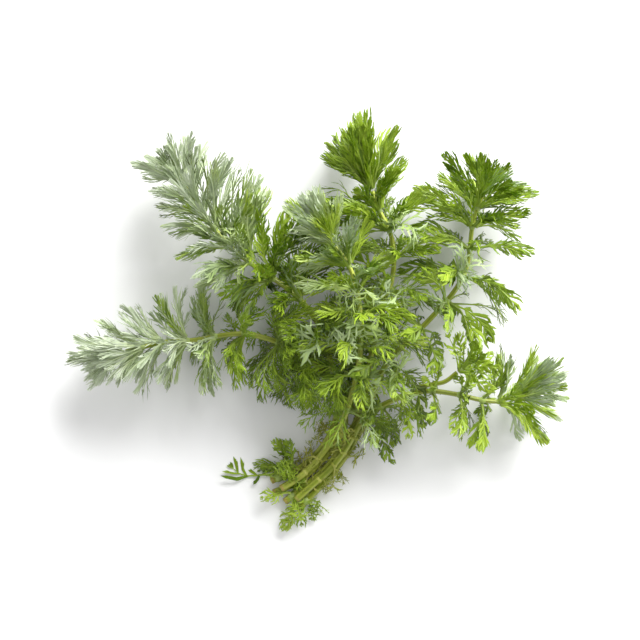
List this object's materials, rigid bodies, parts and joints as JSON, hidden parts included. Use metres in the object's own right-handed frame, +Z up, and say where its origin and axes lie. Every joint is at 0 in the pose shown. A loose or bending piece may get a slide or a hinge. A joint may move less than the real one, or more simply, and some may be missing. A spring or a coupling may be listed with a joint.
{
  "type": "dwarf ambulia bunch",
  "caption": "Loose bunch of cut feathery aquarium stems lying on their sides: bare stems bundled at the cut ends, fanning out to leafy tips with whorls of finely divided leaves.",
  "frame": {"origin": "centre of the bunch's outer box, on the surface it lies on", "axes": "+X to the right and +Y towards the top shoot's tip, seen from above; the cut ends point to -Y; +Z up from the surface"},
  "size_m": [0.1998, 0.1654, 0.0567],
  "materials": {
    "stem": "olive to yellow-brown fleshy stem, satin, with pale node rings",
    "leaf": "moist green leaf, satin, with pale midribs",
    "silver_leaf": "silvery grey-green leaf, soft sheen"
  },
  "bodies": {
    "root": {"stem_top": "stem", "stem_middle": "stem", "stem_upper_left": "stem", "stem_lower_left": "stem", "stem_upper_right": "stem", "stem_lower_right": "stem", "stem_side": "stem", "tip_top": "leaf", "whorl_top_1": "leaf", "whorl_top_2": "leaf", "whorl_top_3": "leaf", "whorl_top_4": "leaf", "whorl_top_5": "leaf", "whorl_top_6": "leaf", "tip_middle": "leaf", "whorl_middle_1": "leaf", "whorl_middle_2": "leaf", "whorl_middle_3": "leaf", "whorl_middle_4": "leaf", "whorl_middle_5": "leaf", "whorl_middle_6": "leaf", "tip_upper_left": "silver_leaf", "whorl_upper_left_1": "silver_leaf", "whorl_upper_left_2": "silver_leaf", "whorl_upper_left_3": "silver_leaf", "whorl_upper_left_4": "silver_leaf", "whorl_upper_left_5": "silver_leaf", "whorl_upper_left_6": "leaf", "whorl_upper_left_7": "leaf", "whorl_upper_left_8": "leaf", "whorl_upper_left_9": "leaf", "tip_lower_left": "silver_leaf", "whorl_lower_left_1": "silver_leaf", "whorl_lower_left_2": "silver_leaf", "whorl_lower_left_3": "silver_leaf", "whorl_lower_left_4": "silver_leaf", "whorl_lower_left_5": "leaf", "whorl_lower_left_6": "leaf", "whorl_lower_left_7": "leaf", "tip_upper_right": "leaf", "whorl_upper_right_1": "leaf", "whorl_upper_right_2": "leaf", "whorl_upper_right_3": "leaf", "whorl_upper_right_4": "leaf", "whorl_upper_right_5": "leaf", "whorl_upper_right_6": "leaf", "whorl_upper_right_7": "leaf", "tip_lower_right": "leaf", "whorl_lower_right_1": "leaf", "whorl_lower_right_2": "leaf", "whorl_lower_right_3": "leaf", "whorl_lower_right_4": "leaf", "whorl_lower_right_5": "leaf", "whorl_lower_right_6": "leaf", "whorl_lower_right_7": "leaf", "tip_side": "leaf", "pronged_base_leaf": "leaf", "curled_base_leaves": "leaf", "pale_base_frond": "leaf", "small_base_leaves": "leaf"}
  },
  "joints": []
}
